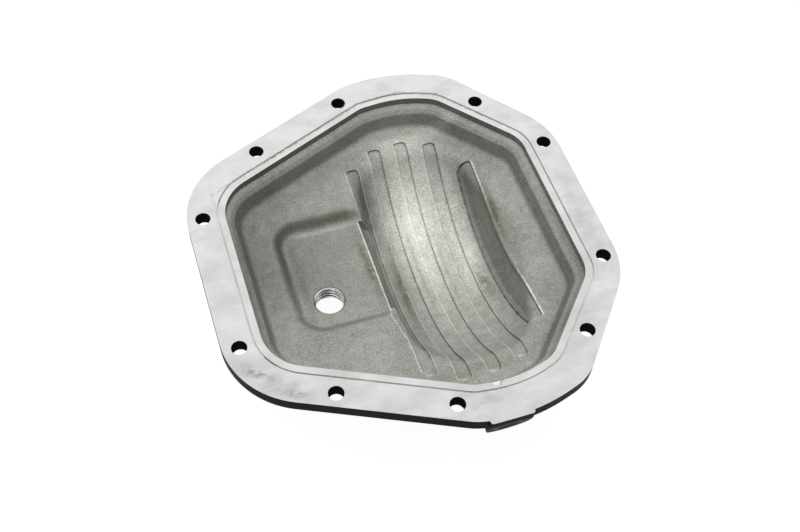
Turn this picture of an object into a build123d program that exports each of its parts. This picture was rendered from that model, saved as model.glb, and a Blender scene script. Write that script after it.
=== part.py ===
from build123d import *
from math import atan2, cos, degrees, radians, sin, tan
import os

os.makedirs("parts", exist_ok=True)

# Differential cover, one aluminium casting. Millimetres.
# Origin: on the sealing face and the axle line, midway between the top and bottom centre bolts.
# +Z points out of the sealing face, X runs along the axle, Y points up the vehicle.
# The lower half of every outline and of the bolt pattern mirrors the upper half.

# Flange and opening, upper half, as corner x, corner y and corner radius.
FLANGE_CORNERS = [(-131.0, 86.4, 59.5), (8.5, 148.7, 40.0), (44.0, 153.0, 120.0), (86.7, 138.9, 38.4), (144.5, 67.3, 57.0)]
OPENING_CORNERS = [(-104.5, 69.7, 32.6), (14.5, 123.1, 18.0), (45.0, 126.4, 85.0), (71.2, 117.1, 24.0), (119.1, 62.1, 25.0)]
FLANGE_T = 10.6
FLANGE_BACK_CHAMFER = 1.5

# Clearance holes for the 3/8 in cover bolts, upper half.
BOLT_POINTS = [(0.0, 132.8), (-69.9, 103.4), (-119.7, 54.0), (99.7, 106.0), (134.3, 53.8)]
BOLT_HOLE_D = 10.5

# Sealant groove, measured out from the edge of the opening.
GROOVE_LAND = 4.7
GROOVE_W = 1.2
GROOVE_DEPTH = 0.8

# Bowl, going inwards and down from the edge of the opening.
WALL_T = 6.5
LIP_DEPTH = 5.6
SHELF_W = 5.6
SHELF_DROP = 5.0
FLOOR_DEPTH = 22.0
WALL_DRAFT = 23.0
FLOOR_R = 6.0
KNEE_R = 2.5

# Trough that clears the crown wheel, turned about the axle line.
TROUGH_DEPTH = 65.8
TROUGH_R = 122.0
TROUGH_X = 38.0
TROUGH_FLAT = 7.7
TROUGH_SIDE_R = 48.0
TROUGH_SIDE_ANGLE = 38.0
TROUGH_ROOT_R = 6.0
TROUGH_WALL_ANGLE = 66.0
PAD_SIDE_ANGLE = 70.0
TROUGH_RIM_R = 16.0

# The wall away from the pad breaks back to a gentler slope above this depth.
BREAK_DEPTH = 34.0
BREAK_ANGLE = 42.0

# Five cooling ribs outside, each cored by a shallow strip inside.
RIB_PITCH = 20.9
STRIP_W = 9.4
STRIP_DEPTH = 1.6
STRIP_CORNER_R = 3.0
STRIP_ENDS = ((-97.8, 85.2), (-106.9, 99.6), (-106.6, 101.4), (-101.0, 95.1), (-75.2, 71.3))
RIB_W = 11.0
RIB_H = 5.5
RIB_OVERRUN = 3.0

# Sunk pad beside the trough, its foot outline.
PAD_LEFT = -69.4
PAD_TOP = 44.4
PAD_BOTTOM = -37.1
PAD_DEPTH = 28.8
PAD_DRAFT = 50.0
PAD_CORNER_R = 13.0
PAD_FOOT_R = 3.0
PAD_RIM_R = 5.0
RIDGE_X = -11.7
RIDGE_R = 1.2

# Fill port M24 x 3 in the pad, drain port M18 x 1.5 in the lower edge, drilled to their tapping size.
PORT_CHAMFER = 1.1
FILL_MINOR_D = 20.8
FILL_POINT = (-49.9, -17.0)
FILL_BOSS_D = 36.0
FILL_BOSS_DEPTH = 42.0
DRAIN_MINOR_D = 16.4
DRAIN_MOUTH = (29.9, -148.2, -17.0)
DRAIN_TILT = 19.0
DRAIN_BOSS_D = 29.6
DRAIN_FACE_Y = -152.3
DRAIN_EDGE_R = 2.0
NICK_RISE = 1.4


def cornered(corners, grow=0.0):
    # Face with straight edges and tangent corner arcs, both halves, moved outwards by grow.
    ring = [(x, -y, r) for x, y, r in corners] + [(x, y, r) for x, y, r in reversed(corners)]
    spans = []
    for i, (x, y, r) in enumerate(ring):
        before = (Vector(x, y) - Vector(*ring[i - 1][:2])).normalized()
        after = (Vector(*ring[(i + 1) % len(ring)][:2]) - Vector(x, y)).normalized()
        half_turn = atan2(before.cross(after).Z, before.dot(after)) / 2
        outward = (before - after).normalized()
        corner = Vector(x, y) + outward * (grow / cos(half_turn))
        radius = r + grow
        reach = radius * tan(half_turn)
        crown = corner - outward * (radius / cos(half_turn) - radius)
        spans.append((corner - before * reach, crown, corner + after * reach))
    edges = []
    for i, (start, crown, stop) in enumerate(spans):
        edges += [ThreePointArc(start, crown, stop), Line(stop, spans[(i + 1) % len(spans)][0])]
    return make_face(edges)


def bowl(skin):
    # Shallow bowl below the sealing face, grown by skin.
    draft = radians(WALL_DRAFT)
    depth = FLOOR_DEPTH + skin
    foot = SHELF_W + (FLOOR_DEPTH - LIP_DEPTH - SHELF_DROP) * tan(draft) + skin * (tan(draft) - 1 / cos(draft))
    solid = extrude(Pos(0, 0, -depth) * cornered(OPENING_CORNERS, -foot), depth, taper=-WALL_DRAFT)
    floor_edges = solid.faces().sort_by(Axis.Z)[0].edges()
    return fillet(floor_edges, FLOOR_R + skin)


def turned(left, right):
    # Solid turned about the axle line, from the two halves of its profile, each going outwards from the middle.
    ends = [half[-1] @ 1 for half in (left, right)]
    closing = [Line(left[0] @ 0, right[0] @ 0), Line(ends[0], Vector(ends[0].X, 0)), Line(ends[1], Vector(ends[1].X, 0))]
    closing.append(Line(Vector(ends[0].X, 0), Vector(ends[1].X, 0)))
    return Pos(TROUGH_X, 0, TROUGH_R - TROUGH_DEPTH) * Rot(X=-90) * revolve(make_face(left + right + closing), Axis.X)


def arc(centre, radius, start, stop):
    # Profile arc between two slopes in degrees.
    points = [centre + Vector(sin(radians(a)), cos(radians(a))) * radius for a in (start, (start + stop) / 2, stop)]
    return ThreePointArc(*points)


def mirrored(edges):
    return [edge.mirror(Plane.YZ) for edge in edges]


def side_profile(skin, angle):
    # Half profile of the trough up to a wall of this slope, grown by skin.
    lean = radians(TROUGH_SIDE_ANGLE)
    slope = radians(angle)
    side_centre = Vector(TROUGH_FLAT, TROUGH_R - TROUGH_SIDE_R)
    root_centre = side_centre + Vector(sin(lean), cos(lean)) * (TROUGH_SIDE_R - TROUGH_ROOT_R)
    side = arc(side_centre, TROUGH_SIDE_R + skin, 0, TROUGH_SIDE_ANGLE)
    root = arc(root_centre, TROUGH_ROOT_R + skin, TROUGH_SIDE_ANGLE, angle)
    return [side, root], Vector(cos(slope), -sin(slope))


def reach(start, direction, height):
    # Line from a point along a falling direction to a height.
    return Line(start, start + direction * ((height - start.Y) / direction.Y))


def trough(skin):
    # Turned trough below the floor of the bowl, grown by skin. Away from the pad its wall breaks back.
    axle = TROUGH_R - TROUGH_DEPTH
    left, fall_away = side_profile(skin, PAD_SIDE_ANGLE)
    left.append(reach(left[-1] @ 1, fall_away, axle))
    right, fall_away = side_profile(skin, TROUGH_WALL_ANGLE)
    slope, back = radians(TROUGH_WALL_ANGLE), radians(BREAK_ANGLE)
    knee = axle + BREAK_DEPTH + skin * (cos(slope) + tan((slope - back) / 2) * sin(slope))
    right.append(reach(right[-1] @ 1, fall_away, knee))
    right.append(reach(right[-1] @ 1, Vector(cos(back), -sin(back)), axle))
    size = 4 * TROUGH_R
    below = Pos(TROUGH_X, 0, -FLOOR_DEPTH - skin - size / 2) * Box(size, size, size)
    return turned(mirrored(left), right) & below


def cavity(skin):
    # Bowl and trough joined by a soft rim, grown by skin.
    solid = bowl(skin) + trough(skin)
    floor = -FLOOR_DEPTH - skin
    floor_face = solid.faces().filter_by(Plane.XY).filter_by_position(Axis.Z, floor - 0.01, floor + 0.01)[0]
    return fillet(floor_face.inner_wires()[0].edges(), TROUGH_RIM_R - skin)


def pad(skin):
    # Sunk pad that runs out into the trough, grown by skin.
    draft = radians(PAD_DRAFT)
    side = skin * (1 / cos(draft) - tan(draft))
    left = PAD_LEFT - side
    right = TROUGH_X - RIB_PITCH
    bottom = PAD_BOTTOM - side
    top = PAD_TOP + side
    depth = PAD_DEPTH + skin
    foot = Pos((left + right) / 2, (bottom + top) / 2, -depth) * Rectangle(right - left, top - bottom)
    foot = fillet(foot.vertices().group_by(Axis.X)[0], PAD_CORNER_R + side)
    solid = extrude(foot, PAD_DEPTH - FLOOR_DEPTH, taper=-PAD_DRAFT)
    return fillet(solid.faces().sort_by(Axis.Z)[0].edges(), PAD_FOOT_R + skin)


def fall(skin):
    # Straight stretch of trough wall from the ridge of the pad down to the side arc, grown by skin.
    lean = radians(90 - TROUGH_WALL_ANGLE)
    drop = TROUGH_DEPTH - PAD_DEPTH
    left = RIDGE_X - skin * (1 / cos(lean) - tan(lean))
    right = TROUGH_X - RIB_PITCH
    start = left - 3 * RIDGE_R
    wall = Polygon(
        (start, RIDGE_R), (start, 0), (left, 0), (left + drop * tan(lean), -drop), (right, -drop), (right, RIDGE_R), align=None
    )
    wall = fillet(wall.vertices().sort_by_distance((left, 0, 0))[0], RIDGE_R)
    bottom = PAD_BOTTOM + PAD_FOOT_R / 2 - skin
    top = PAD_TOP - PAD_FOOT_R / 2 + skin
    block = extrude(Plane((0, top, -PAD_DEPTH - skin), x_dir=(1, 0, 0), z_dir=(0, -1, 0)) * wall, top - bottom)
    side = [arc(Vector(TROUGH_FLAT, TROUGH_R - TROUGH_SIDE_R), TROUGH_SIDE_R + skin, 0, TROUGH_WALL_ANGLE)]
    return block & turned(mirrored(side), side)


def strip(index, width, grow):
    # Upright block with rounded corners over one cooling rib.
    x = TROUGH_X + (index - 2) * RIB_PITCH
    bottom, top = STRIP_ENDS[index]
    plan = RectangleRounded(width, top - bottom + 2 * grow, STRIP_CORNER_R)
    return extrude(Pos(x, (top + bottom) / 2, 0) * plan, -TROUGH_R)


def level_edges(solid, z):
    # Edges that lie flat at one height.
    flat = 0.01
    return solid.edges().filter_by_position(Axis.Z, z - flat, z + flat)


def port(mouth, axis, minor_d, length):
    # Tapping drill and mouth chamfer of a threaded port, from its mouth along an axis.
    plane = Plane(origin=mouth, z_dir=axis)
    low = (Align.CENTER, Align.CENTER, Align.MIN)
    drill = plane * Cylinder(minor_d / 2, length, align=low)
    sink = plane * Cone(minor_d / 2 + PORT_CHAMFER, minor_d / 2, PORT_CHAMFER, align=low)
    return drill + sink


# Inside: lip, sloping shelf, bowl, trough and pad as one core.
shelf_angle = degrees(atan2(SHELF_W, SHELF_DROP))
core = cavity(0)
core += extrude(cornered(OPENING_CORNERS), -LIP_DEPTH)
core += extrude(Pos(0, 0, -LIP_DEPTH) * cornered(OPENING_CORNERS), -SHELF_DROP, taper=shelf_angle)
core = fillet(level_edges(core, -LIP_DEPTH - SHELF_DROP), KNEE_R)
core += pad(0)
pad_rim = level_edges(core, -FLOOR_DEPTH).filter_by_position(Axis.X, PAD_LEFT - 20, TROUGH_X - TROUGH_R / 2)
pad_rim = pad_rim.filter_by_position(Axis.Y, PAD_BOTTOM - 10, PAD_TOP + 10)
pad_rim = [edge for edge in pad_rim if edge.center().X > PAD_LEFT - 10]
core = fillet(pad_rim, PAD_RIM_R)
core += fall(0)

# Outside: flange, skin of even thickness, ribs and port bosses.
flange = extrude(cornered(FLANGE_CORNERS), -FLANGE_T)
flange = chamfer(level_edges(flange, -FLANGE_T), FLANGE_BACK_CHAMFER)
shell = cavity(WALL_T) + pad(WALL_T) + fall(WALL_T)
cover = flange + shell
rib_skin = cavity(WALL_T + RIB_H)
for i in range(len(STRIP_ENDS)):
    cover += rib_skin & strip(i, RIB_W, RIB_OVERRUN)

# Fill boss square to the pad, drain boss tilted out below the flange.
low = (Align.CENTER, Align.CENTER, Align.MIN)
fill_x, fill_y = FILL_POINT
fill_boss = Cylinder(FILL_BOSS_D / 2, FILL_BOSS_DEPTH - PAD_DEPTH, align=low)
cover += Pos(fill_x, fill_y, -FILL_BOSS_DEPTH) * fill_boss

tilt = radians(DRAIN_TILT)
drain_in = Vector(0, cos(tilt), sin(tilt))
drain_plane = Plane(origin=DRAIN_MOUTH, x_dir=(1, 0, 0), z_dir=drain_in)
drain_length = (DRAIN_MOUTH[1] * -1 - cornered(OPENING_CORNERS).bounding_box().max.Y + SHELF_W) / cos(tilt)
drain_end = Circle(DRAIN_BOSS_D / 2) + Pos(0, -DRAIN_BOSS_D / 2) * Rectangle(DRAIN_BOSS_D, DRAIN_BOSS_D)
drain_boss = extrude(drain_plane * drain_end, drain_length)
drain_boss &= Pos(DRAIN_MOUTH[0], DRAIN_FACE_Y, 0) * Box(
    2 * DRAIN_BOSS_D, 2 * TROUGH_R, 2 * TROUGH_R, align=(Align.CENTER, Align.MIN, Align.MAX)
)
sides = drain_boss.edges().filter_by(GeomType.LINE).filter_by(lambda edge: abs(edge.center().Y - DRAIN_FACE_Y) < 0.01)
drain_boss = fillet(sides.filter_by(Axis.Z), DRAIN_EDGE_R)
cover += drain_boss

# Cuts from the inside.
cover -= core
groove_skin = cavity(STRIP_DEPTH)
for i in range(len(STRIP_ENDS)):
    cover -= groove_skin & strip(i, STRIP_W, 0)
cover -= port((fill_x, fill_y, -PAD_DEPTH), (0, 0, -1), FILL_MINOR_D, FILL_BOSS_DEPTH - PAD_DEPTH)
cover -= port((fill_x, fill_y, -FILL_BOSS_DEPTH), (0, 0, 1), FILL_MINOR_D, FILL_BOSS_DEPTH - PAD_DEPTH)
cover -= port(DRAIN_MOUTH, drain_in, DRAIN_MINOR_D, drain_length + SHELF_W)

# The drill rode up where it broke through the lip and nicked the sealing edge.
nick = drain_plane * Pos(0, -NICK_RISE, drain_length - SHELF_W - NICK_RISE)
cover -= nick * Cylinder(DRAIN_MINOR_D / 2, 2 * SHELF_W, align=low)

# Sealing face.
groove = cornered(OPENING_CORNERS, GROOVE_LAND + GROOVE_W) - cornered(OPENING_CORNERS, GROOVE_LAND)
cover -= extrude(groove, -GROOVE_DEPTH)
for x, y in BOLT_POINTS:
    for side in (1, -1):
        cover -= Pos(x, side * y, 0) * Cylinder(BOLT_HOLE_D / 2, 4 * FLANGE_T)

cover = cover.solid()
cover.label = "differential_cover"
cover.color = Color(0.62, 0.63, 0.6)
export_step(cover, "parts/differential_cover.step")
box = cover.bounding_box()
print("volume", round(cover.volume), "size", [round(v, 1) for v in box.size], "centre", cover.center(CenterOf.MASS))
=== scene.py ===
import math
from functools import reduce
from types import SimpleNamespace

import bpy
import numpy as np
from mathutils import Euler, Matrix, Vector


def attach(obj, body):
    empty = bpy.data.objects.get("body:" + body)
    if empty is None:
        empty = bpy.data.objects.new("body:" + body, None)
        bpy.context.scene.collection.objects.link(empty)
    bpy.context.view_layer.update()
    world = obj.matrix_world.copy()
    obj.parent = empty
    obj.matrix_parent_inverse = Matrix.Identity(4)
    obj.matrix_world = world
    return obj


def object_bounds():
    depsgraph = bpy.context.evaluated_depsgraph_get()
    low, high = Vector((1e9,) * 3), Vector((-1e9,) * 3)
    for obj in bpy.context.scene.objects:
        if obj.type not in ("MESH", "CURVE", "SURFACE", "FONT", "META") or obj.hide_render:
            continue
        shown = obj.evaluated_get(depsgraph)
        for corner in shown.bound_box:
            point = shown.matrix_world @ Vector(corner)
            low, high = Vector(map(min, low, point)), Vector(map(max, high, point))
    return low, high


# Differential cover, seen from inside. Sizes and places on the casting are in millimetres, those of the
# studio in metres, and turns in degrees.

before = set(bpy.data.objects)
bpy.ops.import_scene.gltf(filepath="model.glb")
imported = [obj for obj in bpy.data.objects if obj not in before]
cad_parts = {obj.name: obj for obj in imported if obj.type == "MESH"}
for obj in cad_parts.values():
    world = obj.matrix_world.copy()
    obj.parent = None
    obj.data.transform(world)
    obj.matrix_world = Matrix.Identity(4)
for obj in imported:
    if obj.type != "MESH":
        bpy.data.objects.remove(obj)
cadBox = [list(corner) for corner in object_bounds()]
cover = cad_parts["differential_cover"]
print("frame loaded", [[round(v * 1000, 1) for v in corner] for corner in cadBox])

scene = bpy.context.scene
scene.view_settings.view_transform = "Standard"


# Node helpers: each returns an output socket, so that a pattern reads as a line of arithmetic

def joinTo(tree, value, socket):
    # a number or a colour is set on the socket, another socket is linked to it
    if isinstance(value, (int, float)):
        socket.default_value = value
    elif isinstance(value, tuple):
        socket.default_value = value if len(value) == len(socket.default_value) else (*value, 1.0)
    else:
        tree.links.new(value, socket)


def sum_(tree, operation, *values):
    node = tree.nodes.new("ShaderNodeMath")
    node.operation = operation
    for value, socket in zip(values, node.inputs):
        joinTo(tree, value, socket)
    return node.outputs[0]


class Sums:
    # Arithmetic and patterns on the sockets of one node tree
    def __init__(self, tree):
        self.tree = tree

    def add(self, a, b):
        return sum_(self.tree, "ADD", a, b)

    def sub(self, a, b):
        return sum_(self.tree, "SUBTRACT", a, b)

    def mul(self, a, b):
        return sum_(self.tree, "MULTIPLY", a, b)

    def low(self, a, b):
        return sum_(self.tree, "MINIMUM", a, b)

    def high(self, a, b):
        return sum_(self.tree, "MAXIMUM", a, b)

    def size(self, a):
        return sum_(self.tree, "ABSOLUTE", a)

    def root(self, a):
        return sum_(self.tree, "SQRT", sum_(self.tree, "MAXIMUM", a, 0.0))

    def square(self, a):
        return sum_(self.tree, "MULTIPLY", a, a)

    def power(self, a, b):
        return sum_(self.tree, "POWER", a, b)

    def total(self, values):
        return reduce(self.add, values)

    def both(self, *masks):
        return reduce(self.mul, masks)

    def either(self, *masks):
        return reduce(self.high, masks)

    def inverse(self, mask):
        return self.sub(1.0, mask)

    def reach(self, a, b):
        # distance from the origin of two coordinates
        return self.root(self.add(self.square(a), self.square(b)))

    def ramp(self, value, start, stop, low=0.0, high=1.0, shape="LINEAR"):
        # from low at start to high at stop, and level beyond them
        node = self.tree.nodes.new("ShaderNodeMapRange")
        node.interpolation_type = shape
        joinTo(self.tree, value, node.inputs["Value"])
        for name, number in (("From Min", start), ("From Max", stop), ("To Min", low), ("To Max", high)):
            node.inputs[name].default_value = number
        return node.outputs["Result"]

    def step(self, value, start, stop, low=0.0, high=1.0):
        return self.ramp(value, start, stop, low, high, "SMOOTHSTEP")

    def line(self, along, at, half, core=0.5):
        # 1 on a line as wide as this share of its half width, 0 beyond the half width
        return self.step(self.size(self.sub(along, at)), half, half * core)

    def between(self, value, low, high, soft=1.0):
        return self.mul(self.step(value, low, low + soft), self.step(value, high, high - soft))

    def mix(self, share, a, b):
        node = self.tree.nodes.new("ShaderNodeMix")
        for value, index in zip((share, a, b), (0, 2, 3)):
            joinTo(self.tree, value, node.inputs[index])
        return node.outputs[0]

    def mixColour(self, share, a, b):
        node = self.tree.nodes.new("ShaderNodeMix")
        node.data_type = "RGBA"
        for value, index in zip((share, a, b), (0, 6, 7)):
            joinTo(self.tree, value, node.inputs[index])
        return node.outputs[2]

    def brighten(self, colour, gain):
        node = self.tree.nodes.new("ShaderNodeVectorMath")
        node.operation = "SCALE"
        self.tree.links.new(colour, node.inputs[0])
        self.tree.links.new(gain, node.inputs["Scale"])
        return node.outputs[0]

    def noise(self, where, grain, detail, roughness, stretch=None):
        # grain is the size of one patch, and stretch is how many times longer it is and in which direction
        if stretch:
            times, turn = stretch
            squeeze = self.tree.nodes.new("ShaderNodeMapping")
            squeeze.inputs["Rotation"].default_value = (0, 0, math.radians(turn))
            squeeze.inputs["Scale"].default_value = (1 / times, 1, 1)
            self.tree.links.new(where, squeeze.inputs["Vector"])
            where = squeeze.outputs["Vector"]
        node = self.tree.nodes.new("ShaderNodeTexNoise")
        node.inputs["Scale"].default_value = 1.0 / grain
        node.inputs["Detail"].default_value = detail
        node.inputs["Roughness"].default_value = roughness
        self.tree.links.new(where, node.inputs["Vector"])
        return node.outputs[0]

    def shade(self, patterns, shares):
        # patterns added up, each cut off at two levels and given its share
        return self.total([self.mul(self.ramp(patterns[name], low, high), share)
                           for name, (share, low, high) in shares.items()])

    def mark(self, where, centre, reach, turn=0.0):
        # soft oval on the plan: 1 at its centre, falling off as a bell over reach along and across
        place = self.tree.nodes.new("ShaderNodeMapping")
        place.vector_type = "TEXTURE"
        place.inputs["Location"].default_value = (*centre, 0)
        place.inputs["Rotation"].default_value = (0, 0, math.radians(turn))
        place.inputs["Scale"].default_value = (*reach, 1e6)
        self.tree.links.new(where, place.inputs["Vector"])
        away = self.tree.nodes.new("ShaderNodeVectorMath")
        away.operation = "DOT_PRODUCT"
        self.tree.links.new(place.outputs["Vector"], away.inputs[0])
        self.tree.links.new(place.outputs["Vector"], away.inputs[1])
        return self.power(1 / math.e, away.outputs["Value"])

    def marks(self, where, spots, combine):
        return reduce(combine, [self.mul(self.mark(where, centre, reach, turn), depth)
                                for centre, reach, turn, depth in spots])


def millimetres(tree):
    # Object coordinates in millimetres, as a vector and as x, y, z, and the direction that the surface faces
    where = tree.nodes.new("ShaderNodeTexCoord")
    scale = tree.nodes.new("ShaderNodeMapping")
    scale.inputs["Scale"].default_value = (1000, 1000, 1000)
    tree.links.new(where.outputs["Object"], scale.inputs["Vector"])
    split = tree.nodes.new("ShaderNodeSeparateXYZ")
    tree.links.new(scale.outputs["Vector"], split.inputs[0])
    facing = tree.nodes.new("ShaderNodeSeparateXYZ")
    tree.links.new(where.outputs["Normal"], facing.inputs[0])
    return scale.outputs["Vector"], split.outputs, facing.outputs


def bump(tree, height, depth, under=None):
    # height from 0 to 1, depth in metres
    node = tree.nodes.new("ShaderNodeBump")
    node.inputs["Distance"].default_value = depth
    tree.links.new(height, node.inputs["Height"])
    if under is not None:
        tree.links.new(under, node.inputs["Normal"])
    return node.outputs["Normal"]


def shader(tree, kind, inputs):
    node = tree.nodes.new(kind)
    for name, value in inputs.items():
        joinTo(tree, value, node.inputs[name])
    return node.outputs[0]


def mixShaders(tree, share, a, b):
    node = tree.nodes.new("ShaderNodeMixShader")
    for value, socket in zip((share, a, b), node.inputs):
        tree.links.new(value, socket)
    return node.outputs[0]


def emptyMaterial(name):
    material = bpy.data.materials.new(name)
    material.use_nodes = True
    material.node_tree.nodes.clear()
    return material, material.node_tree


def toSurface(tree, output, kind="ShaderNodeOutputMaterial"):
    tree.links.new(output, tree.nodes.new(kind).inputs["Surface"])


# Where each finish lies on the casting

ports = {
    "fill": {"at": (-49.9, -17.0, -28.8), "radius": 10.4, "tilt": -90.0},
    "drain": {"at": (29.9, -148.2, -17.0), "radius": 8.2, "tilt": 19.0},
}

castingLayout = {
    # corners of the opening's upper half, which the lower half mirrors, and bolt holes of the upper half
    "opening": [(-104.5, 69.7), (14.5, 123.1), (45.0, 126.4), (71.2, 117.1), (119.1, 62.1)],
    "bolts": [(0.0, 132.8), (-69.9, 103.4), (-119.7, 54.0), (99.7, 106.0), (134.3, 53.8)],
    "floorZ": -22.0,
    # the trough's profile, turned about the axle line
    "troughX": 38.0,
    "troughR": 122.0,
    "troughDepth": 65.8,
    "troughFlat": 7.7,
    "troughSideR": 48.0,
    "troughSideAngle": 38.0,
    "troughWallAngle": 66.0,
    "padZ": -28.8,
    "padAcross": (-65.0, 21.0, 2.0),         # from, to and softness
    "padAlong": (-39.0, 46.0, 2.0),
    "fallEnds": (42.9, -35.6),               # upright ends of the fall between pad and trough
    "fallAcross": (-14.0, 4.0),
    "lastWallAt": 84.5,                      # upright wall of the last strip
    "lastWallAlong": (-78.0, 74.0),
    "wallHalf": 0.6,                         # half width of the bands round these upright faces
}

# The two values between which a mask goes from 0 to 1
maskEdges = {
    "facesDown": (-0.10, -0.20),             # direction of the surface: 1 is up and -1 is down
    "upright": (0.20, 0.10),
    "facesUp": (0.50, 0.80),
    "hiddenSide": (-3.0, -3.6),              # height over the inside surface
    "flange": (2.6, 3.2),                    # outside the opening
    "grooveInner": (1.0, 2.0),
    "grooveOuter": (11.0, 9.0),
    "grooveFloor": (-1.6, -1.2),             # heights
    "grooveTop": (-0.15, -0.40),
    "sealingFace": (-0.35, -0.15),
    "boltTop": (-0.10, -0.40),
    "boltRim": (5.6, 5.4),                   # from the middle of a bolt hole
    "fillRim": (0.65, 0.45),                 # outside the fill port's bore
    "fillMouth": (-28.4, -28.9),
    "fillBore": (-29.6, -30.2),
    "fillFarSide": (1.0, 4.0),               # beyond the fill port's middle
    "drainRim": (1.0, 0.8),                  # outside the drain port's bore
    "drainChamfer": (0.3, 0.5),
    "drainTop": (-1.0, -1.6),
    "drainUpper": (2.0, 4.5),                # above the drain port's middle
    "nick": (12.0, 14.0),                    # inwards of the drain port's mouth
}


def shifted(pair, by):
    return [value + by for value in pair]


def openingEdges(corners):
    # direction outwards and reach of each straight edge: both sides, then from each corner to the next
    edges = [(-1.0, 0.0, -corners[0][0]), (1.0, 0.0, corners[-1][0])]
    for (x, y), (nextX, nextY) in zip(corners, corners[1:]):
        length = math.hypot(nextX - x, nextY - y)
        across, up = (y - nextY) / length, (nextX - x) / length
        edges.append((across, up, across * x + up * y))
    return edges


def insideHeight(s, x, y):
    # height of the inside surface under each point: bowl floor, pad or turned trough, whichever is lowest
    lay = castingLayout
    lean = math.radians(lay["troughSideAngle"])
    sideR = lay["troughSideR"]
    middleR = lay["troughR"] - sideR
    wallX = lay["troughFlat"] + sideR * math.sin(lean)
    wallR = middleR + sideR * math.cos(lean)
    fromMiddle = s.size(s.sub(x, lay["troughX"]))
    side = s.high(s.sub(fromMiddle, lay["troughFlat"]), 0.0)
    crown = s.add(s.root(s.sub(sideR ** 2, s.square(side))), middleR)
    fall = s.mul(s.sub(fromMiddle, wallX), math.tan(math.radians(lay["troughWallAngle"])))
    crown = s.low(crown, s.sub(wallR, fall))
    turned = s.sub(lay["troughR"] - lay["troughDepth"], s.root(s.sub(s.square(crown), s.square(y))))
    inPad = s.mul(s.between(x, *lay["padAcross"]), s.between(y, *lay["padAlong"]))
    return s.low(s.mix(inPad, lay["floorZ"], lay["padZ"]), turned)


def findPorts(s, p):
    # masks of the bright metal in the two ports, of the painted highlights on the fill port's far side and
    # the drain's upper rim, and of the nick
    fillX, fillY, _ = ports["fill"]["at"]
    fillReach = s.reach(s.sub(p.x, fillX), s.sub(p.y, fillY))
    p.inFill = s.step(fillReach, *shifted(maskEdges["fillRim"], ports["fill"]["radius"]))
    # the fill port's chamfer shows as a painted highlight on its far side only
    p.fillBright = s.high(s.step(p.z, *maskEdges["fillBore"]),
                          s.step(p.y, *shifted(maskEdges["fillFarSide"], fillY)))
    drain = ports["drain"]
    drainX, drainY, drainZ = drain["at"]
    tilt = math.radians(drain["tilt"])
    across = s.sub(s.mul(s.sub(p.z, drainZ), math.cos(tilt)), s.mul(s.sub(p.y, drainY), math.sin(tilt)))
    drainReach = s.reach(s.sub(p.x, drainX), across)
    # the drain's bore and mouth, coloured dark as painted shade
    p.inDrain = s.mul(s.step(drainReach, *shifted(maskEdges["drainRim"], drain["radius"])),
                      s.step(p.z, *maskEdges["drainTop"]))
    # the upper rim of the drain's mouth, which gets a painted highlight
    p.drainRim = s.mul(s.step(drainReach, *shifted(maskEdges["drainChamfer"], drain["radius"])),
                       s.step(p.z, *shifted(maskEdges["drainUpper"], drainZ)))
    # the nick in the lip, which gets painted light
    p.inNick = s.step(p.y, *shifted(maskEdges["nick"], drainY))
    p.ported = s.high(s.both(p.inFill, p.fillBright, s.step(p.z, *maskEdges["fillMouth"])), p.inDrain)


def findPlaces(s):
    # coordinates on the casting, and a mask for each place that has its own finish
    lay, edges = castingLayout, maskEdges
    p = SimpleNamespace()
    p.where, (p.x, p.y, p.z), (_, _, p.up) = millimetres(s.tree)
    foldedY = s.size(p.y)
    p.fromOpening = s.either(*[s.sub(s.add(s.mul(p.x, across), s.mul(foldedY, up)), reach)
                               for across, up, reach in openingEdges(lay["opening"])])
    findPorts(s, p)
    p.faced = s.mul(s.step(p.z, *edges["sealingFace"]), s.step(p.up, *edges["facesUp"]))
    p.grooved = s.both(s.step(p.z, *edges["grooveFloor"]), s.step(p.z, *edges["grooveTop"]),
                       s.step(p.fromOpening, *edges["grooveInner"]),
                       s.step(p.fromOpening, *edges["grooveOuter"]))
    nearest = reduce(s.low, [s.reach(s.sub(p.x, x), s.sub(foldedY, y)) for x, y in lay["bolts"]])
    p.inHole = s.mul(s.step(nearest, *edges["boltRim"]), s.step(p.z, *edges["boltTop"]))

    # black paint lies on what faces down, on the flange's edge and on upright faces below the inside
    # surface, apart from the fall's ends and the last strip's wall, which belong to the inside
    p.fallEnd = s.mul(s.either(*[s.line(p.y, end, lay["wallHalf"]) for end in lay["fallEnds"]]),
                      s.between(p.x, *lay["fallAcross"]))
    lastWall = s.mul(s.line(p.x, lay["lastWallAt"], lay["wallHalf"]), s.between(p.y, *lay["lastWallAlong"]))
    below = s.step(s.sub(p.z, insideHeight(s, p.x, p.y)), *edges["hiddenSide"])
    upright = s.both(s.step(p.up, *edges["upright"]), s.inverse(s.high(p.fallEnd, lastWall)), below)
    outer = s.either(s.step(p.up, *edges["facesDown"]), upright, s.step(p.fromOpening, *edges["flange"]))
    bare = s.either(p.ported, p.faced, p.grooved)
    p.black = s.high(p.inHole, s.mul(outer, s.inverse(bare)))
    return p


# Cast inside

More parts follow.
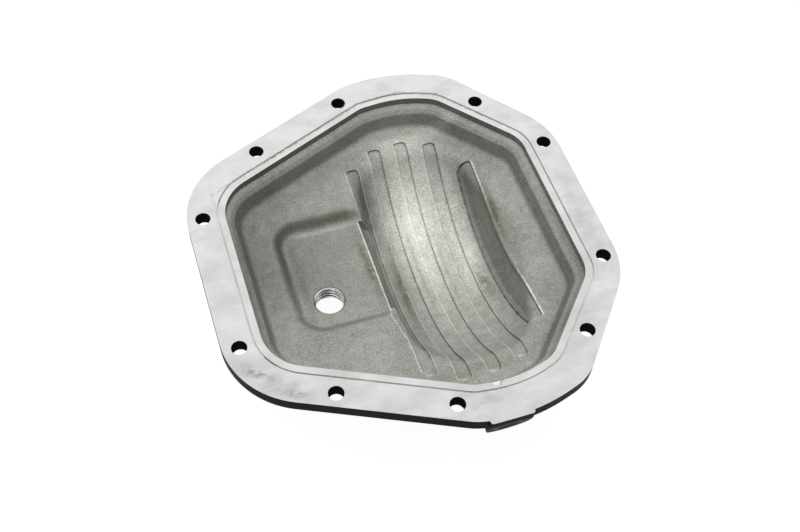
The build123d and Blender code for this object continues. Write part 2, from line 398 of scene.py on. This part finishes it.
castFinish = {
    "bright": (0.57, 0.577, 0.540),
    "dull": (0.13, 0.136, 0.109),
    # patterns: patch size, detail and roughness
    "broad": (38.0, 3.0, 0.55),
    "cloud": (7.0, 3.0, 0.6),
    "grit": (1.15, 2.0, 0.6),
    "fine": (0.62, 1.0, 0.5),
    "lineBreakupPattern": (5.0, 3.0, 0.6),
    "stainPatch": (4.0, 4.0, 0.7),
    # each pattern's share of the shade, and its levels that count as dull and as bright
    "shade": {"broad": (0.14, 0.3, 0.7), "cloud": (0.18, 0.34, 0.66),
              "grit": (0.396, 0.3, 0.7), "fine": (0.324, 0.25, 0.75)},
    "shadeShift": -0.03,
    "lineBreakupLevels": (0.3, 0.6, 0.35, 1.0),
    "stainLevels": (0.36, 0.56, 0.30, 0.85),
    "roughness": (0.3, 0.7, 0.50, 0.66),     # levels of the cloud, and roughness there
    "bumpShares": (0.7, 0.3),                # coarse and fine grains
    "grainDepth": 0.00025,                   # metres
    "metallic": 0.22,
    "specular": 0.3,
    "leastGain": 0.1,
    "steepShade": (0.30, 0.90, 0.59, 1.0),        # painted shade on steep walls: share of the colour left on them, by their direction
    "stain": (0.105, 0.085, 0.045),
    "stainShare": 0.95,
    # painted light and shade in soft places, such as the painted highlight in the trough: centre, reach along
    # and across, turn, gain
    "paintedLightAndShade": [
        ((36.0, 46.0), (25.0, 50.0), 0.0, 1.40), ((36.0, -30.0), (22.0, 40.0), 0.0, 0.15),
        ((66.0, 12.0), (8.0, 42.0), 0.0, 0.88), ((80.0, -45.0), (5.0, 25.0), 0.0, 0.25),
        ((-80.0, 25.0), (34.0, 52.0), 0.0, -0.30), ((1.0, 66.0), (8.0, 24.0), 0.0, -0.45),
        ((62.0, 104.0), (70.0, 5.0), 0.0, 0.30), ((-3.0, 0.0), (6.0, 55.0), 0.0, 0.15),
        ((95.0, -62.0), (18.0, 22.0), 0.0, -0.18), ((-36.0, 8.0), (30.0, 34.0), 0.0, -0.14),
        ((9.0, 2.0), (7.0, 42.0), 0.0, -0.28), ((88.0, -92.0), (16.0, 12.0), 0.0, -0.25),
    ],
    # brown and olive stains: centre, reach along and across, turn, depth
    "stains": [
        ((-15.6, 2.0), (30.0, 3.2), 92.0, 1.0), ((9.0, -8.0), (30.0, 2.8), 88.0, 1.0),
        ((87.2, 22.0), (24.0, 2.4), 90.0, 1.0), ((68.5, -14.0), (17.0, 4.5), 92.0, 0.85),
        ((-26.0, 48.0), (22.0, 2.6), 2.0, 0.85), ((-64.0, 6.0), (30.0, 2.6), 90.0, 0.55),
        ((27.0, 12.0), (34.0, 1.6), 90.0, 0.45), ((47.0, 0.0), (34.0, 1.6), 90.0, 0.40),
        ((30.0, -100.0), (50.0, 5.0), 0.0, 0.35),
    ],
}

# Painted light and shade on single places in the bowl
bowlPaintedLight = {
    # painted shade on the pad's walls, most of all away from the camera's side
    "padWallShade": -0.48,
    "padWallAcross": (-80.0, -12.0, 8.0),    # from, to and softness
    "padWallAlong": (-48.0, 56.0),
    "padWallHeight": (-29.4, -21.4, 3.4),
    "padWallByY": (-30.0, 35.0, 0.55, 1.0),
    # and a painted highlight on its upper rim
    "padRimHighlight": 0.28,
    "padRimAcross": (-62.0, -12.0, 6.0),
    "padRimLine": (41.5, 2.2, 0.1),          # place, half width and its core
    # painted shade at the foot of the walls away from the camera
    "wallFootShade": -0.16,
    "wallFootReach": (-30.0, -10.0),
    "wallFootLean": -0.5,
    "wallFootFrom": (-20.0, 60.0),
    # painted shade on the shelf under the sealing lip near the camera, and painted light far from it
    "shelfHeight": (-9.0, -7.5),
    "shelfUp": (0.6, 0.8),
    "shelfByY": (-20.0, 60.0, -0.22, 0.42),
    # painted shade in the fill port's near side
    "fillNearShade": -0.40,
}

# Five shallow strips run across the trough, and a sharp ridge stands between it and the pad; painted
# highlights and painted shade lie along their edges
stripLightMarks = {
    "pitch": 20.9,
    "half": 4.7,
    # from the pad outwards: lower and upper end, gain of the left line, gain and place of the right line;
    # each line is a painted highlight where its gain is above 0 and painted shade where below
    "strips": [
        (-97.8, 85.2, 0.45, 0.50, 0.2),
        (-106.9, 99.6, 0.45, -0.38, 0.2),
        (-106.6, 101.4, 0.40, -0.42, 0.2),
        (-101.0, 95.1, 0.40, -0.42, 0.2),
        (-75.2, 71.3, -0.90, 1.25, 0.75),
    ],
    "endSoft": 2.0,
    "leftAt": -0.4,
    "leftHalf": 0.9,
    "rightHalf": 0.7,
    "even": [0, 4],                          # strips whose right line keeps its strength
    "fading": (-50.0, 10.0, -0.4, 1.0),      # strength of the other right lines by y
    "firstLeftFrom": (42.0, 50.0),           # the first strip's left line is seen beyond the pad only
    "top": -0.14,                            # painted shade at the upper ends
    "topReach": 45.0,
    "topFull": 5.0,
    "topCore": 0.9,
    "dot": 0.6,                              # painted highlight dots at the lower ends
    "dotAt": (-1.0, 1.5),
    "dotReach": (2.6, 1.2),
    "litWallHalf": 0.6,                      # the first strip's right wall doesn't get the painted shade of steep walls
    "litWallCore": 0.8,
    "ridge": 1.5,
    "ridgeX": -11.9,
    "ridgeTop": 43.5,
    "ridgeHalf": 0.8,
    # below the pad the ridge's painted highlight bends and fades: from, to and shift
    "ridgeBends": [(-37.0, -44.0, -2.4), (-44.0, -66.0, 4.8), (-66.0, -95.0, 0.5)],
    "ridgeFading": (-38.5, -34.5, 0.40, 1.0),
    "ridgeBreakup": (0.3, 1.0, 0.6, 1.0),
    "fallEnd": 0.4,
    "fallEndUp": (0.35, 0.25),
}


def stripLightGains(s, p, lineBreakup):
    # painted highlights and painted shade along the edges of each strip, painted shade at its upper end and a
    # painted highlight dot at its lower end
    strips = stripLightMarks
    half = strips["half"]
    gains = []
    for i, (start, stop, leftGain, rightGain, rightAt) in enumerate(strips["strips"]):
        centre = castingLayout["troughX"] + (i - len(strips["strips"]) // 2) * strips["pitch"]
        leftHere = rightHere = s.mul(s.between(p.y, start, stop, strips["endSoft"]), lineBreakup)
        if i == 0:
            leftHere = s.mul(leftHere, s.step(p.y, *strips["firstLeftFrom"]))
        if i not in strips["even"]:
            rightHere = s.mul(rightHere, s.ramp(p.y, *strips["fading"]))
        leftLine = s.line(p.x, centre - half + strips["leftAt"], strips["leftHalf"])
        rightLine = s.line(p.x, centre + half + rightAt, strips["rightHalf"])
        gains += [s.both(leftLine, leftHere, leftGain), s.both(rightLine, rightHere, rightGain)]
        topFrom = stop - strips["topReach"]
        top = s.both(s.line(p.x, centre, half, strips["topCore"]), s.between(p.y, topFrom, stop),
                     s.step(p.y, topFrom, stop - strips["topFull"]))
        dotX, dotY = strips["dotAt"]
        dot = s.mark(p.where, (centre + dotX, start + dotY), strips["dotReach"])
        gains += [s.mul(top, strips["top"]), s.mul(dot, strips["dot"])]
    return gains


def litWall(s, p):
    # right wall of the first strip, which is spared the painted shade of steep walls
    strips = stripLightMarks
    start, stop = strips["strips"][0][:2]
    first = castingLayout["troughX"] - len(strips["strips"]) // 2 * strips["pitch"]
    return s.mul(s.line(p.x, first + strips["half"], strips["litWallHalf"], strips["litWallCore"]),
                 s.between(p.y, start, stop))


def ridgeLightGains(s, p, lineBreakup):
    # painted highlight along the ridge and on below the pad, and painted light on the upright ends of the
    # fall
    strips = stripLightMarks
    bends = strips["ridgeBends"]
    bent = s.total([s.ramp(p.y, start, stop, 0.0, shift) for start, stop, shift in bends])
    ridge = s.both(s.line(p.x, s.add(bent, strips["ridgeX"]), strips["ridgeHalf"]),
                   s.between(p.y, bends[-1][1], strips["ridgeTop"]),
                   s.step(p.y, *strips["ridgeFading"]), s.ramp(lineBreakup, *strips["ridgeBreakup"]))
    fallEnd = s.mul(p.fallEnd, s.step(p.up, *strips["fallEndUp"]))
    return [s.mul(ridge, strips["ridge"]), s.mul(fallEnd, strips["fallEnd"])]


def bowlLightGains(s, p):
    # painted shade on the pad's walls and a painted highlight on its rim, painted shade at the foot of the
    # bowl's walls and in the fill port's near side, and painted light and shade on the shelf
    bowl = bowlPaintedLight
    padWallShade = s.both(s.between(p.x, *bowl["padWallAcross"]), s.between(p.y, *bowl["padWallAlong"]),
                     s.between(p.z, *bowl["padWallHeight"]), s.ramp(p.y, *bowl["padWallByY"]))
    leaning = s.add(p.y, s.mul(p.x, bowl["wallFootLean"]))
    wallFootShade = s.mul(s.step(p.fromOpening, *bowl["wallFootReach"]), s.step(leaning, *bowl["wallFootFrom"]))
    padRimHighlight = s.mul(s.between(p.x, *bowl["padRimAcross"]), s.line(p.y, *bowl["padRimLine"]))
    shelfLight = s.both(s.step(p.z, *bowl["shelfHeight"]), s.step(p.up, *bowl["shelfUp"]),
                   s.ramp(p.y, *bowl["shelfByY"]))
    nearSideShade = s.mul(p.inFill, s.inverse(p.fillBright))
    return [s.mul(padWallShade, bowl["padWallShade"]), s.mul(wallFootShade, bowl["wallFootShade"]), s.mul(padRimHighlight, bowl["padRimHighlight"]),
            shelfLight, s.mul(nearSideShade, bowl["fillNearShade"])]


def castSurface(s, p):
    # colour, roughness and grain of the cast inside: grains over clouds, with painted light and shade by
    # place and painted shade on steep walls
    cast = castFinish
    patterns = {name: s.noise(p.where, *cast[name]) for name in cast["shade"]}
    shade = s.add(s.shade(patterns, cast["shade"]), cast["shadeShift"])
    plain = s.mixColour(shade, cast["dull"], cast["bright"])
    # patches in which the painted lines along the strips and ridge fade
    lineBreakup = s.ramp(s.noise(p.where, *cast["lineBreakupPattern"]), *cast["lineBreakupLevels"])
    # painted light and shade: soft places, lines along the strips and ridge, and places in the bowl
    gains = [s.marks(p.where, cast["paintedLightAndShade"], s.add), *stripLightGains(s, p, lineBreakup), *ridgeLightGains(s, p, lineBreakup),
             *bowlLightGains(s, p)]
    gain = s.high(s.add(s.total(gains), 1.0), cast["leastGain"])
    # painted shade on steep walls by the direction they face, apart from the first strip's right wall
    gain = s.mul(gain, s.mix(litWall(s, p), s.step(p.up, *cast["steepShade"]), 1.0))
    patch = s.ramp(s.noise(p.where, *cast["stainPatch"]), *cast["stainLevels"])
    stained = s.both(s.marks(p.where, cast["stains"], s.high), patch, cast["stainShare"])
    colour = s.mixColour(stained, s.brighten(plain, gain), cast["stain"])
    coarse, fine = cast["bumpShares"]
    grains = s.add(s.mul(patterns["grit"], coarse), s.mul(patterns["fine"], fine))
    return colour, s.ramp(patterns["cloud"], *cast["roughness"]), grains


# Machined sealing face, its groove and the cut metal of the ports

machinedFinish = {
    "colour": (0.795, 0.80, 0.803),
    "dull": (0.63, 0.635, 0.637),
    # patterns: patch size, detail, roughness, and stretch with its direction
    "sweep": (17.0, 4.0, 0.6, (1.5, 20.0)),
    "feed": (0.9, 2.0, 0.5, (26.0, 35.0)),
    "smear": (5.0, 4.0, 0.7, (2.0, -35.0)),
    "oil": (30.0, 3.0, 0.6),
    "seepPatch": (3.0, 3.0, 0.6),
    "shade": {"sweep": (0.80, 0.36, 0.64), "feed": (0.20, 0.3, 0.7)},
    # painted light on the face: lighter away from the camera and darker near it
    "paintedLightByY": (150.0, -150.0, -0.35, 0.15),
    "roughness": (0.3, 0.7, 0.24, 0.38),     # levels of the sweep, and roughness there
    "feedRoughness": (0.3, 0.7, 0.0, 0.06),
    "feedDepth": 0.000004,                   # metres
    # dark smudges: centre, reach along and across, turn, depth
    "smudge": (0.22, 0.225, 0.235),
    "smearLevels": (0.40, 0.60, 0.15, 1.0),
    "smudges": [
        ((-112.0, -77.0), (15.0, 4.0), -42.0, 0.85), ((-94.0, -97.0), (9.0, 4.0), -30.0, 0.75),
        ((-104.0, -84.0), (22.0, 8.0), -42.0, 0.35), ((-14.0, -140.0), (20.0, 3.0), -12.0, 0.3),
        ((16.0, -136.0), (16.0, 5.0), 0.0, 0.3), ((132.0, -20.0), (6.0, 40.0), 0.0, 0.22),
        ((7.0, -130.0), (6.0, 5.0), 0.0, 0.30),
    ],
    # groove with a trace of old oil
    "groove": (0.70, 0.71, 0.68),
    "olive": (0.58, 0.575, 0.45),
    "oilLevels": (0.4, 0.6),
    # oil seeps out along the upper groove
    "seep": (0.34, 0.335, 0.24),
    "seepShare": 0.75,
    "seepAcross": (3.2, 6.6, 0.9),
    "seepFrom": (50.0, 100.0),
    "seepLevels": (0.40, 0.60),
    # only the upper rim of the drain's mouth gets a painted highlight, the rest of the drain is painted
    # shade, and the nick in the lip gets painted light as bright as the face
    "port": (0.74, 0.75, 0.75),
    "portRoughness": 0.22,
    "drain": (0.03, 0.03, 0.03),
    "drainRim": (0.66, 0.67, 0.66),
    "nick": (0.92, 0.925, 0.93),
}


def machinedSurface(s, p):
    # colour, roughness and feed marks of the sealing face, with painted light that is lighter away from the
    # camera
    mach = machinedFinish
    patterns = {name: s.noise(p.where, *mach[name]) for name in mach["shade"]}
    shade = s.add(s.shade(patterns, mach["shade"]), s.ramp(p.y, *mach["paintedLightByY"]))
    colour = s.mixColour(shade, mach["colour"], mach["dull"])
    smear = s.ramp(s.noise(p.where, *mach["smear"]), *mach["smearLevels"])
    dirty = s.mul(s.marks(p.where, mach["smudges"], s.high), smear)
    colour = s.mixColour(dirty, colour, mach["smudge"])
    seep = s.both(s.between(p.fromOpening, *mach["seepAcross"]), s.step(p.y, *mach["seepFrom"]),
                  s.ramp(s.noise(p.where, *mach["seepPatch"]), *mach["seepLevels"]), mach["seepShare"])
    colour = s.mixColour(seep, colour, mach["seep"])
    rough = s.add(s.ramp(patterns["sweep"], *mach["roughness"]),
                  s.ramp(patterns["feed"], *mach["feedRoughness"]))
    return colour, rough, patterns["feed"]


def cutColours(s, p, colour):
    # the groove and both ports laid over the colour of the surfaces round them, with the drain's painted
    # shade and highlight and the nick's painted light
    mach = machinedFinish
    oily = s.ramp(s.noise(p.where, *mach["oil"]), *mach["oilLevels"])
    colour = s.mixColour(p.grooved, colour, s.mixColour(oily, mach["groove"], mach["olive"]))
    colour = s.mixColour(p.ported, colour, mach["port"])
    drain = s.mixColour(p.drainRim, mach["drain"], mach["drainRim"])
    return s.mixColour(p.inDrain, colour, s.mixColour(p.inNick, drain, mach["nick"]))


# Black paint on the hidden side and on the flange's edge

paintFinish = {
    "colour": (0.0040, 0.0060, 0.0078),
    "paler": 1.8,
    "cloud": (14.0, 3.0, 0.6),
    "cloudLevels": (0.35, 0.65),
    "hole": (0.018, 0.020, 0.023),
    "roughness": 0.55,
    "specular": 0.04,
    # the casting's skin shows through: patterns, their shares and depth in metres
    "skin": [((1.4, 2.0, 0.5), 0.7), ((0.5, 1.0, 0.5), 0.3)],
    "skinDepth": 0.00012,
}


def paintShader(s, p):
    # coat of paint, and the dull dark of the bolt holes
    paint = paintFinish
    paler = tuple(channel * paint["paler"] for channel in paint["colour"])
    cloud = s.ramp(s.noise(p.where, *paint["cloud"]), *paint["cloudLevels"])
    skin = s.total([s.mul(s.noise(p.where, *pattern), share) for pattern, share in paint["skin"]])
    coat = shader(s.tree, "ShaderNodeBsdfPrincipled", {
        "Base Color": s.mixColour(cloud, paint["colour"], paler),
        "Roughness": paint["roughness"],
        "Specular IOR Level": paint["specular"],
        "Normal": bump(s.tree, skin, paint["skinDepth"]),
    })
    hole = shader(s.tree, "ShaderNodeBsdfDiffuse", {"Color": paint["hole"]})
    return mixShaders(s.tree, p.inHole, coat, hole)


def makeCasting():
    material, tree = emptyMaterial("castingFinish")
    s = Sums(tree)
    p = findPlaces(s)
    castColour, castRough, grains = castSurface(s, p)
    machColour, machRough, feed = machinedSurface(s, p)
    flat = s.high(p.faced, p.grooved)
    machined = s.high(flat, p.ported)
    colour = cutColours(s, p, s.mixColour(p.faced, castColour, machColour))
    rough = s.mix(p.ported, s.mix(flat, castRough, machRough), machinedFinish["portRoughness"])
    grained = bump(tree, s.mul(s.inverse(machined), grains), castFinish["grainDepth"])
    metal = shader(tree, "ShaderNodeBsdfPrincipled", {
        "Base Color": colour,
        "Metallic": s.mix(machined, castFinish["metallic"], 1.0),
        "Roughness": rough,
        "Specular IOR Level": castFinish["specular"],
        "Normal": bump(tree, s.mul(p.faced, feed), machinedFinish["feedDepth"], under=grained),
    })
    toSurface(tree, mixShaders(tree, p.black, metal, paintShader(s, p)))
    return material


cover.data.materials.clear()
cover.data.materials.append(makeCasting())
print("casting finished")


# Threads cut in the two ports

threadCut = {
    "fill": {"start": 1.0, "stop": 12.2, "pitch": 3.0, "height": 0.62},
    "drain": {"start": 1.1, "stop": 12.0, "pitch": 1.5, "height": 0.45},
    "rows": 14,                              # for each turn of the thread
    "columns": 120,
    "clear": 0.03,
    "crest": 1.25,                           # the tooth rises to this share of its height, cut off at 1,
    "flank": 3.4,                            # and falls by this share for each turn from its middle
    "fade": 0.5,                             # turns of the thread over which it runs out
}

threadFinish = {
    "groove": (0.28, 0.285, 0.28),
    "crest": (0.86, 0.87, 0.86),
    "shaded": (0.09, 0.09, 0.085),
    "streak": (0.8, 2.0, 0.6, (6.0, 0.0)),
    "streakLevels": (0.30, 0.62),
    "roughness": (0.35, 0.65, 0.16, 0.3),
    # painted shade on the near side of the fill port's thread and on the drain's thread; only the far side of
    # the fill port's thread keeps its bright metal
    "farWay": (0.30, 0.95),
    "farSide": (-1.0, 3.5),
    "drainFrom": (-60.0, -70.0),
    "middleAt": -0.5,
    "middleDull": (1.0, 6.0, 0.62, 1.15),
}


def makeThread(name, port, cut, material):
    # A tube wall on a grid of angle and depth. Its radius is the bore less a rounded tooth, which follows
    # depth / pitch less the share of a full turn, and which fades out at both ends.
    tilt = math.radians(port["tilt"])
    rows = int((cut["stop"] - cut["start"]) / cut["pitch"] * threadCut["rows"])
    columns = threadCut["columns"]
    angle = np.linspace(0, 2 * np.pi, columns, endpoint=False)[None, :]
    depth = np.linspace(cut["start"], cut["stop"], rows)[:, None]
    turn = (depth / cut["pitch"] - angle / (2 * np.pi)) % 1.0
    tooth = np.clip(threadCut["crest"] - np.abs(turn - 0.5) * threadCut["flank"], 0, 1)
    toEnd = np.minimum(depth - cut["start"], cut["stop"] - depth)
    fade = np.clip(toEnd / (threadCut["fade"] * cut["pitch"]), 0, 1)
    radius = port["radius"] - threadCut["clear"] - cut["height"] * tooth * fade
    axis = np.array([0.0, math.cos(tilt), math.sin(tilt)])
    side = np.array([1.0, 0.0, 0.0])
    other = np.cross(axis, side)
    around = np.cos(angle)[..., None] * side + np.sin(angle)[..., None] * other
    points = np.array(port["at"]) + depth[..., None] * axis + radius[..., None] * around
    row, column = np.meshgrid(np.arange(rows - 1), np.arange(columns), indexing="ij")
    here = row * columns + column
    beside = row * columns + (column + 1) % columns
    quads = np.stack([here, here + columns, beside + columns, beside], axis=-1).reshape(-1, 4)
    mesh = bpy.data.meshes.new(name)
    mesh.from_pydata((points.reshape(-1, 3) / 1000).tolist(), [], quads.tolist())
    mesh.polygons.foreach_set("use_smooth", np.ones(len(mesh.polygons), bool))
    mesh.materials.append(material)
    piece = bpy.data.objects.new(name, mesh)
    scene.collection.objects.link(piece)
    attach(piece, "root")


def makeThreadMetal():
    material, tree = emptyMaterial("cutThread")
    s = Sums(tree)
    thread = threadFinish
    where, (x, y, _), _ = millimetres(tree)
    fillX, fillY, _ = ports["fill"]["at"]
    fromX, fromY = s.sub(x, fillX), s.sub(y, fillY)
    across, along = thread["farWay"]
    farSide = s.step(s.add(s.mul(fromX, across), s.mul(fromY, along)), *thread["farSide"])
    # painted shade on the near side of the fill port's thread and on the drain's thread
    shaded = s.high(s.inverse(farSide), s.step(y, *thread["drainFrom"]))
    middle = s.step(s.size(s.sub(fromX, thread["middleAt"])), *thread["middleDull"])
    streak = s.mul(s.noise(where, *thread["streak"]), middle)
    bright = s.mixColour(s.ramp(streak, *thread["streakLevels"]), thread["groove"], thread["crest"])
    toSurface(tree, shader(tree, "ShaderNodeBsdfPrincipled", {
        "Base Color": s.mixColour(shaded, bright, thread["shaded"]),
        "Metallic": 1.0,
        "Roughness": s.ramp(streak, *thread["roughness"]),
    }))
    return material


threadMetal = makeThreadMetal()
makeThread("fillThread", ports["fill"], threadCut["fill"], threadMetal)
makeThread("drainThread", ports["drain"], threadCut["drain"], threadMetal)
print("threads cut")


# Floor, light and camera

studio = {
    "floorHalf": 4.0,
    "floorColour": (0.80, 0.80, 0.80),
    "floorSeen": 0.95,
    "floorShadow": (0.16, 0.16, 0.16),
    "white": (1.0, 1.0, 1.0),
    "skyColour": (0.8, 0.8, 0.8),
    "skyTop": 1.20,
    "skySide": 0.10,
    "skyRise": (-0.1, 0.95),
    "skyLean": (-0.25, 0.38, 0.89),
    "softboxAt": (0.16, 0.10, 1.40),
    "softboxAim": (0.02, 0.0, -0.03),
    "softboxSize": (0.75, 0.60),
    "softboxPower": 9.0,
}


def mirrored(s):
    # 1 for rays from the camera and for those that metal or glass sends on, which see the white background
    path = s.tree.nodes.new("ShaderNodeLightPath")
    return s.either(*[path.outputs[f"Is {kind} Ray"] for kind in ("Camera", "Glossy", "Transmission")])


def makeFloor():
    # a pale floor for the light, seen as a white one with a faint shadow, and clear from below
    material, tree = emptyMaterial("paleFloor")
    pale = shader(tree, "ShaderNodeBsdfDiffuse", {"Color": studio["floorColour"]})
    shadow = shader(tree, "ShaderNodeBsdfDiffuse", {"Color": studio["floorShadow"]})
    glow = shader(tree, "ShaderNodeEmission", {"Strength": studio["floorSeen"]})
    clear = shader(tree, "ShaderNodeBsdfTransparent", {})
    shown = tree.nodes.new("ShaderNodeAddShader")
    tree.links.new(shadow, shown.inputs[0])
    tree.links.new(glow, shown.inputs[1])
    seen = mixShaders(tree, mirrored(Sums(tree)), pale, shown.outputs[0])
    back = tree.nodes.new("ShaderNodeNewGeometry").outputs["Backfacing"]
    toSurface(tree, mixShaders(tree, back, seen, clear))
    half, level = studio["floorHalf"], cadBox[0][2]
    corners = [(-half, -half, level), (half, -half, level), (half, half, level), (-half, half, level)]
    mesh = bpy.data.meshes.new("studioFloor")
    mesh.from_pydata(corners, [], [(0, 1, 2, 3)])
    mesh.materials.append(material)
    floor = bpy.data.objects.new("studioFloor", mesh)
    scene.collection.objects.link(floor)


def makeSky():
    # brightest overhead and away from the camera, dim on the camera's side
    scene.world = bpy.data.worlds.new("studioSky")
    scene.world.use_nodes = True
    tree = scene.world.node_tree
    tree.nodes.clear()
    s = Sums(tree)
    where = tree.nodes.new("ShaderNodeTexCoord")
    split = tree.nodes.new("ShaderNodeSeparateXYZ")
    tree.links.new(where.outputs["Generated"], split.inputs[0])
    rise = s.total([s.mul(direction, share) for direction, share in zip(split.outputs, studio["skyLean"])])
    strength = s.ramp(rise, *studio["skyRise"], studio["skySide"], studio["skyTop"])
    light = shader(tree, "ShaderNodeBackground", {"Color": studio["skyColour"], "Strength": strength})
    white = shader(tree, "ShaderNodeBackground", {"Color": studio["white"]})
    toSurface(tree, mixShaders(tree, mirrored(s), light, white), "ShaderNodeOutputWorld")


def makeSoftbox():
    # a lamp shines against its own z axis, so that axis points back from the aim
    lamp = bpy.data.lights.new("overheadSoftbox", "AREA")
    lamp.shape = "RECTANGLE"
    lamp.size, lamp.size_y = studio["softboxSize"]
    lamp.energy = studio["softboxPower"]
    box = bpy.data.objects.new("overheadSoftbox", lamp)
    scene.collection.objects.link(box)
    box.visible_glossy = False               # the metal mirrors the white surroundings instead
    at = np.array(studio["softboxAt"])
    back = at - np.array(studio["softboxAim"])
    back /= np.linalg.norm(back)
    side = np.cross((0, 1, 0), back)
    side /= np.linalg.norm(side)
    up = np.cross(back, side)
    box.matrix_world = Matrix([[side[i], up[i], back[i], at[i]] for i in range(3)] + [[0, 0, 0, 1]])


cameraSetup = {
    "lens": 50.0,
    "sensor": 36.0,
    "nearest": 0.01,
    "at": (-0.15666, -0.42804, 0.60920),
    "turn": (35.418, -2.019, -18.068),       # about x, then y, then z
}


def makeCamera():
    data = bpy.data.cameras.new("productCamera")
    data.lens = cameraSetup["lens"]
    data.sensor_width = cameraSetup["sensor"]
    data.clip_start = cameraSetup["nearest"]
    camera = bpy.data.objects.new("productCamera", data)
    scene.collection.objects.link(camera)
    turn = Euler([math.radians(angle) for angle in cameraSetup["turn"]])
    camera.matrix_world = Matrix.Translation(cameraSetup["at"]) @ turn.to_matrix().to_4x4()
    scene.camera = camera


makeFloor()
makeSky()
makeSoftbox()
makeCamera()
print("studio ready")
